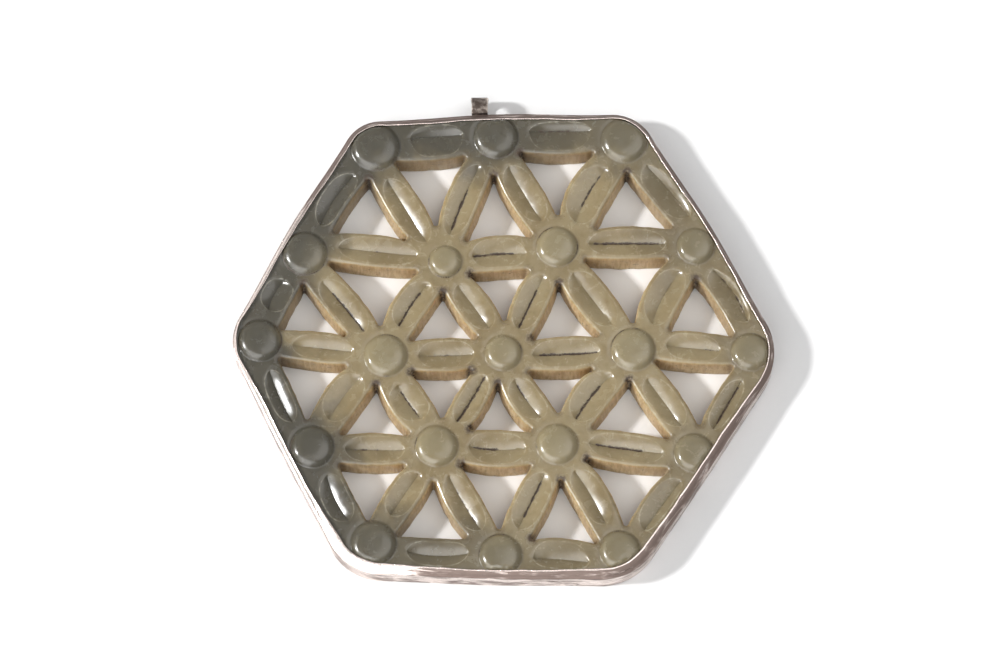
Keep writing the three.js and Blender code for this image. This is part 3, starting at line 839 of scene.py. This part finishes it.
count = len(stations)
ring_places = np.arange(count) / count
dents = wobble(ring_places, DENTS)
lip_waves = wobble(ring_places, LIP_WAVES)
rows = []
for (point, inward, lip), dent, wave in zip(stations, dents, lip_waves):
    edge = lip + LIP_WAVE * wave
    top = COLLAR_HEIGHT + TOP_DENT * dent - TOP_DROP
    shoulder = COLLAR_WALL_HEIGHT + SHOULDER_DENT * dent
    bulge = WALL_BULGE * (1 - dent)
    # (inset, height, and how far over the lip: -1 at the back, 0 at the shoulder, 1 at the edge)
    section = [(COLLAR_ROUND, 0, -1), (0.04, 0.04, -1), (0.01, 0.2, -0.95)]
    for step in range(1, COLLAR_WALL_STEPS):
        share = step / COLLAR_WALL_STEPS
        section.append((bulge * sin(pi * share), shoulder * share + 0.1 * (1 - share), share - 1))
    for step in range(COLLAR_ROUND_STEPS + 1):
        share = step / COLLAR_ROUND_STEPS
        angle = pi / 2 * share
        section.append((COLLAR_ROUND * (1 - cos(angle)), shoulder + COLLAR_ROUND * sin(angle),
                        0.1 * share))
    start = section[-1]
    for step in range(1, COLLAR_SLOPE_STEPS):
        share = step / COLLAR_SLOPE_STEPS
        rise = share + SLOPE_CROWN * sin(pi * share)
        section.append((start[0] + (edge - LIP_ROUND - start[0]) * share,
                        start[1] + (top - start[1]) * rise, 0.1 + 0.75 * share))
    for step in range(COLLAR_ROUND_STEPS + 1):
        share = step / COLLAR_ROUND_STEPS
        angle = pi / 2 * share
        section.append((edge - LIP_ROUND * (1 - sin(angle)), top - LIP_ROUND * (1 - cos(angle)),
                        0.85 + 0.15 * share))
    section += [(edge, JADE_THICKNESS + 0.03, 1), (COLLAR_WALL, JADE_THICKNESS + 0.02, 1),
                (COLLAR_WALL, 2 * COLLAR_EDGE, -1), (BACK_LIP, COLLAR_EDGE, -1),
                (BACK_LIP + 0.02, 0.05, -1), (BACK_LIP - 0.05, 0, -1)]
    rows.append([(*(point + inward * inset), height, over) for inset, height, over in section])
size = len(rows[0])
collar_points = np.array(rows).reshape(-1, 4)
faces = []
for i in range(count):
    here, there = i * size, (i + 1) % count * size
    for j in range(size):
        k = (j + 1) % size
        faces.append((here + j, there + j, there + k, here + k))

mesh = bpy.data.meshes.new("silver_collar")
mesh.from_pydata(collar_points[:, :3] * MM, [], faces)
steps = [np.hypot(*(a[0] - b[0])) for a, b in zip(stations, stations[-1:] + stations[:-1])]
finish_mesh(mesh, over=collar_points[:, 3], along=np.repeat(np.cumsum(steps), size))
collar = bpy.data.objects.new("silver_collar", mesh)
bpy.context.collection.objects.link(collar)

# Tarnish: silver that has gone brown and black where hands and polishing cloths don't reach.
tarnish, f, taken_in, given = new_group(
    "tarnish", [("Where", "Vector"), ("Worn", "Float"), ("Grain", "Float"), ("Bright", "Color"),
                ("Dark", "Color")], [("Colour", "Color"), ("Cover", "Float")])
patches = f.noise(taken_in.outputs["Where"], taken_in.outputs["Grain"], 6, 0.62, 0.5)
cover = f.span(f.sum("SUBTRACT", patches, taken_in.outputs["Worn"]), -0.12, 0.14)
f.tree.links.new(f.mix(cover, taken_in.outputs["Bright"], taken_in.outputs["Dark"]),
                 given.inputs["Colour"])
f.tree.links.new(cover, given.inputs["Cover"])

collar_finish, shader, f = new_finish("worn silver")
over = f.read("over")
where = f.where()
# the burnished edge is bright from wear; the slope behind it is painted dark, a painted shade for the
# dark surroundings it reflects; the wall brushed and pinkish
edge_shine = f.span(over, 0.68, 0.84)
slope_painted_shade = f.times(f.span(over, -0.1, 0.1), f.sum("SUBTRACT", 1, edge_shine))
# worn here holds the real wear of the edge and the painted shade of the slope
worn = f.sum("ADD", f.span(edge_shine, 0, 1, 0.5, 0.82), f.times(slope_painted_shade, -0.15))
# the lower left, which faces the low lamp, is painted brightest: painted light
lower_left = f.add("ShaderNodeVectorMath", {0: where, 1: (-0.95, -0.3, 0)}, "Value",
                   operation="DOT_PRODUCT")
worn = f.sum("ADD", worn, f.times(f.span(lower_left, 14, 22), f.span(over, -0.2, 0.2, 0.02, 0.32)))
# the tarnish lies in streaks that run along the strip
strip = f.add("ShaderNodeCombineXYZ", {0: f.times(f.read("along"), 0.3), 1: f.times(over, 2.6)})
# so the tarnish laid here holds painted shade and painted light as well as real tarnish
old = place_group(f, tarnish, Where=strip, Worn=worn, Grain=0.9, Bright=(0.82, 0.71, 0.66),
                  Dark=(0.2, 0.15, 0.13))
spots = f.noise(where, 3.0, 4, 0.6)
colour = f.mix(f.span(spots, 0.66, 0.72, 0, 0.8), old.outputs["Colour"], (0.1, 0.06, 0.035))
dirty = place_group(f, old_dirt, Colour=colour, Settled=f.span(over, 0.985, 1.0, 0, 0.8), Grain=2.0,
                    Dirt=(0.04, 0.03, 0.02))
f.tree.links.new(dirty.outputs["Colour"], shader.inputs["Base Color"])
f.tree.links.new(f.span(old.outputs["Cover"], 0, 1, 1, 0.75), shader.inputs["Metallic"])
f.tree.links.new(f.span(old.outputs["Cover"], 0, 1, 0.22, 0.5), shader.inputs["Roughness"])
dimples = f.noise(where, 1.5, 4, 0.6)
scratched = place_group(f, fine_scratches, Size=1.1).outputs["Height"]
relief = f.sum("ADD", f.times(dimples, 1.5), scratched)
f.tree.links.new(f.add("ShaderNodeBump", {"Strength": 0.5, "Distance": 0.00006, "Height": relief}),
                 shader.inputs["Normal"])
mesh.materials.append(collar_finish)

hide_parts("silver_frame")
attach(collar, "root")


# ---- Hanging strap ----
# A short strap of thicker silver bent to a D and soldered by both ends to the collar's top
# side.  A cord or ring once went through it; it is the darkest, least polished metal.

STRAP_CENTRE_X = -2.75
STRAP_WIDTH = 2.0
STRAP_REACH = 2.3
STRAP_HEIGHT = 3.3
STRAP_THICKNESS = 0.5
STRAP_BASE = 0.15
STRAP_ROUND = 0.14
ROUND_POINTS = 4
FILLET_REACH = 0.3
FILLET_DEPTH = 0.16
UNEVEN_WIDTH = 0.05
UNEVEN_RATE = 2.3

seat = max(point[1] for point, _, _ in stations) + FIT_GAP
half_height = (STRAP_HEIGHT - STRAP_THICKNESS) / 2
neck = STRAP_REACH - STRAP_HEIGHT / 2
path = [(seat + neck * share, -half_height, (0, -1)) for share in np.linspace(0, 1, 7)[:-1]]
for angle in np.linspace(-pi / 2, pi / 2, 25):
    path.append((seat + neck + half_height * cos(angle), half_height * sin(angle),
                 (cos(angle), sin(angle))))
path += [(seat + neck * share, half_height, (0, 1)) for share in np.linspace(1, 0, 7)[1:]]

section = []
for side_x, side_n, start in ((1, 1, 0), (-1, 1, 90), (-1, -1, 180), (1, -1, 270)):
    for step in range(ROUND_POINTS + 1):
        turn = direction(start + 90 * step / ROUND_POINTS)
        section.append((side_x * (STRAP_WIDTH / 2 - STRAP_ROUND) + STRAP_ROUND * turn[0],
                        side_n * (STRAP_THICKNESS / 2 - STRAP_ROUND) + STRAP_ROUND * turn[1]))

corners, worn_edge = [], []
for y, z, (out_y, out_z) in path:
    solder = FILLET_DEPTH * max(0, 1 - (y - seat) / FILLET_REACH) ** 2
    pinch = UNEVEN_WIDTH * (1 - sin(UNEVEN_RATE * z + 1))
    for across, out in section:
        out -= solder if out < 0 else 0
        corners.append((STRAP_CENTRE_X + across - pinch * np.sign(across),
                        y + out_y * out, STRAP_BASE + STRAP_HEIGHT / 2 + z + out_z * out))
        worn_edge.append(abs(across) / (STRAP_WIDTH / 2) * (1 if out > 0 else 0.4))
size = len(section)
faces = [tuple(reversed(range(size))), tuple(range(len(corners) - size, len(corners)))]
for i in range(len(path) - 1):
    for j in range(size):
        k = (j + 1) % size
        faces.append((i * size + j, i * size + k, (i + 1) * size + k, (i + 1) * size + j))
mesh = bpy.data.meshes.new("hanging_strap")
mesh.from_pydata([(x * MM, y * MM, z * MM) for x, y, z in corners], [], faces)
finish_mesh(mesh, worn_edge=worn_edge)
strap = bpy.data.objects.new("hanging_strap", mesh)
bpy.context.collection.objects.link(strap)

strap_finish, shader, f = new_finish("dark silver")
worn = f.span(f.read("worn_edge"), 0.8, 1, 0.36, 0.56)
old = place_group(f, tarnish, Where=f.where(), Worn=worn, Grain=1.1, Bright=(0.6, 0.52, 0.46),
                  Dark=(0.1, 0.075, 0.062))
f.tree.links.new(old.outputs["Colour"], shader.inputs["Base Color"])
f.tree.links.new(f.span(old.outputs["Cover"], 0, 1, 1, 0.7), shader.inputs["Metallic"])
f.tree.links.new(f.span(old.outputs["Cover"], 0, 1, 0.28, 0.5), shader.inputs["Roughness"])
scratched = place_group(f, fine_scratches, Size=1.3).outputs["Height"]
relief = f.sum("ADD", f.noise(f.where(), 2.2, 4), scratched)
f.tree.links.new(f.add("ShaderNodeBump", {"Strength": 0.5, "Distance": 0.00005, "Height": relief}),
                 shader.inputs["Normal"])
mesh.materials.append(strap_finish)

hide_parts("suspension_loop")
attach(strap, "root")


# ---- Table, light and camera ----
# Plain white paper that the carving lies on.  A low lamp at the left throws its shadow to the
# right, with softer light from a window at the front left and a fill from the upper right.

TABLE_HALF = 1.5
mesh = bpy.data.meshes.new("table")
square = [(-1, -1), (1, -1), (1, 1), (-1, 1)]
mesh.from_pydata([(x * TABLE_HALF, y * TABLE_HALF, 0) for x, y in square], [], [(0, 1, 2, 3)])
table_finish, shader, f = new_finish("white paper", Roughness=0.9)
fibres = f.noise(f.where(), 1.5, 3)
f.tree.links.new(f.mix(fibres, (0.85, 0.85, 0.85), (0.87, 0.87, 0.87)), shader.inputs["Base Color"])
mesh.materials.append(table_finish)
table = bpy.data.objects.new("table", mesh)
bpy.context.collection.objects.link(table)

ROOM_LIGHT = 0.38
scene = bpy.context.scene
scene.view_settings.view_transform = "Standard"
world = bpy.data.worlds.new("room")
scene.world = world
world.use_nodes = True
world.node_tree.nodes["Background"].inputs["Color"].default_value = (1, 1, 1, 1)
world.node_tree.nodes["Background"].inputs["Strength"].default_value = ROOM_LIGHT


def face_back(thing, way):
    """Turns a light or camera to look back along a way."""
    thing.rotation_euler = Vector(way).to_track_quat("Z", "Y").to_euler()


def way_to(heading, height):
    """The way towards something, by its heading (anticlockwise from +X) and its height."""
    return Vector((*direction(heading) * cos(radians(height)), sin(radians(height))))


# each lamp's heading, height and spread in degrees, and its strength
LAMPS = [("key", 184, 36, 6, 2.85), ("window", 245, 46, 50, 0.65), ("fill", 0, 66, 50, 0.8)]
for name, heading, height, spread, energy in LAMPS:
    sun = bpy.data.lights.new(name, "SUN")
    sun.energy = energy
    sun.angle = radians(spread)
    lamp = bpy.data.objects.new(name, sun)
    scene.collection.objects.link(lamp)
    face_back(lamp, way_to(heading, height))

# a white panel at the front left that shows only as a soft gloss on the polish
PANEL_AWAY = 0.9
PANEL_SIZE = 0.9
PANEL_ENERGY = 6
PANEL_WAY = way_to(236, 38)
panel = bpy.data.lights.new("panel", "AREA")
panel.size = PANEL_SIZE
panel.energy = PANEL_ENERGY
gloss = bpy.data.objects.new("panel", panel)
scene.collection.objects.link(gloss)
gloss.location = PANEL_WAY * PANEL_AWAY
face_back(gloss, PANEL_WAY)
gloss.visible_diffuse = False

# the camera looks down from the front, its height in degrees and its way off in metres
AIM = (-0.45, 2.13, 0)
CAMERA_HEIGHT = 73.4
CAMERA_AWAY = 0.6
lens = bpy.data.cameras.new("camera")
lens.lens = 192.2
lens.sensor_width = 36
lens.clip_end = 10
camera = bpy.data.objects.new("camera", lens)
scene.collection.objects.link(camera)
back_way = way_to(-90, CAMERA_HEIGHT)
camera.location = Vector(AIM) * MM + back_way * CAMERA_AWAY
face_back(camera, back_way)
scene.camera = camera
